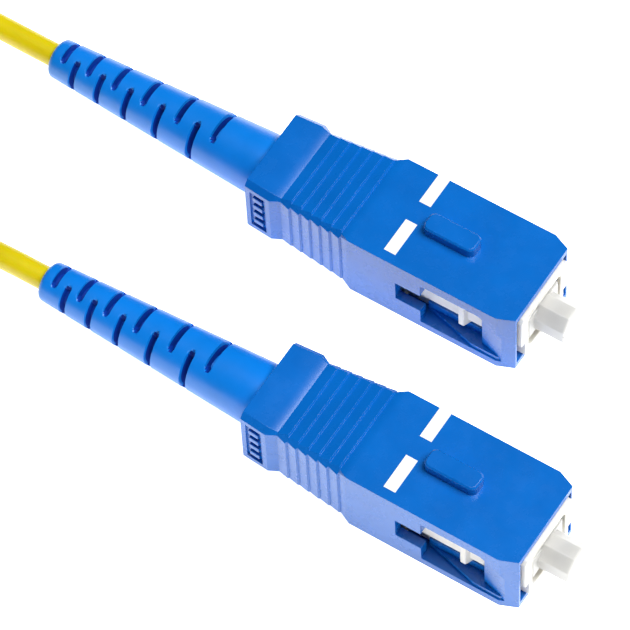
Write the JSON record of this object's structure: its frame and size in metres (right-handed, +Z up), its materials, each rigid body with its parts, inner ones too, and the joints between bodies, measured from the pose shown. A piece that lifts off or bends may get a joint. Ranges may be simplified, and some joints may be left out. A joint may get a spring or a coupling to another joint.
{
  "type": "fiber optic patch cord",
  "caption": "Simplex fibre optic patch cord: a thin yellow cord in a tied coil with a blue push-pull plug, tapered boot and dust cap on each end.",
  "frame": {"origin": "bottom centre of the box round the two plugs, on the surface they lie on", "axes": "+X the way the plugs point, +Y from plug b to plug a, +Z up"},
  "size_m": [0.107, 0.0301, 0.0081],
  "materials": {
    "blue_plastic": "satin moulded",
    "blue_rubber": "satin soft moulded",
    "white_plastic": "satin moulded",
    "clear_cap": "milky translucent",
    "zirconia": "polished ceramic",
    "nickel_brass": "nickel plated",
    "aluminium": "crimped",
    "spring_steel": "drawn wire",
    "ptfe": "waxy",
    "buffer_coating": "satin extruded",
    "glass_fiber": "clear",
    "aramid_yarn": "loose yarn",
    "yellow_jacket": "satin extruded",
    "tie_fabric": "woven hook and loop"
  },
  "bodies": {
    "cord": {"cord_run_a": "yellow_jacket", "cord_run_b": "yellow_jacket", "cord_coil": "yellow_jacket", "coil_tie": "tie_fabric", "plug_frame_a": "white_plastic", "stop_body_a": "nickel_brass", "aramid_yarn_a": "aramid_yarn", "crimp_sleeve_a": "aluminium", "jacket_end_a": "yellow_jacket", "boot_a": "blue_rubber", "ferrule_spring_a": "spring_steel", "plug_frame_b": "white_plastic", "stop_body_b": "nickel_brass", "aramid_yarn_b": "aramid_yarn", "crimp_sleeve_b": "aluminium", "jacket_end_b": "yellow_jacket", "boot_b": "blue_rubber", "ferrule_spring_b": "spring_steel"},
    "grip_a": {"grip_housing_a": "blue_plastic"},
    "ferrule_set_a": {"ferrule_a": "zirconia", "ferrule_flange_a": "nickel_brass", "guide_tube_a": "ptfe", "buffered_fiber_a": "buffer_coating", "glass_fiber_a": "glass_fiber"},
    "cap_a": {"dust_cap_a": "clear_cap"},
    "grip_b": {"grip_housing_b": "blue_plastic"},
    "ferrule_set_b": {"ferrule_b": "zirconia", "ferrule_flange_b": "nickel_brass", "guide_tube_b": "ptfe", "buffered_fiber_b": "buffer_coating", "glass_fiber_b": "glass_fiber"},
    "cap_b": {"dust_cap_b": "clear_cap"}
  },
  "joints": [
    {"name": "grip_slide_a", "type": "slide", "parent": "cord", "child": "grip_a", "axis": [1, 0, 0], "range_m": [-0.001, 0.001]},
    {"name": "ferrule_float_a", "type": "slide", "parent": "cord", "child": "ferrule_set_a", "axis": [1, 0, 0], "range_m": [-0.0015, 0], "stiffness_N_per_m": 1500, "deforming": ["ferrule_spring_a"]},
    {"name": "cap_pull_a", "type": "slide", "parent": "ferrule_set_a", "child": "cap_a", "axis": [1, 0, 0], "range_m": [0, 0.01]},
    {"name": "grip_slide_b", "type": "slide", "parent": "cord", "child": "grip_b", "axis": [1, 0, 0], "range_m": [-0.001, 0.001]},
    {"name": "ferrule_float_b", "type": "slide", "parent": "cord", "child": "ferrule_set_b", "axis": [1, 0, 0], "range_m": [-0.0015, 0], "stiffness_N_per_m": 1500, "deforming": ["ferrule_spring_b"]},
    {"name": "cap_pull_b", "type": "slide", "parent": "ferrule_set_b", "child": "cap_b", "axis": [1, 0, 0], "range_m": [0, 0.01]}
  ]
}
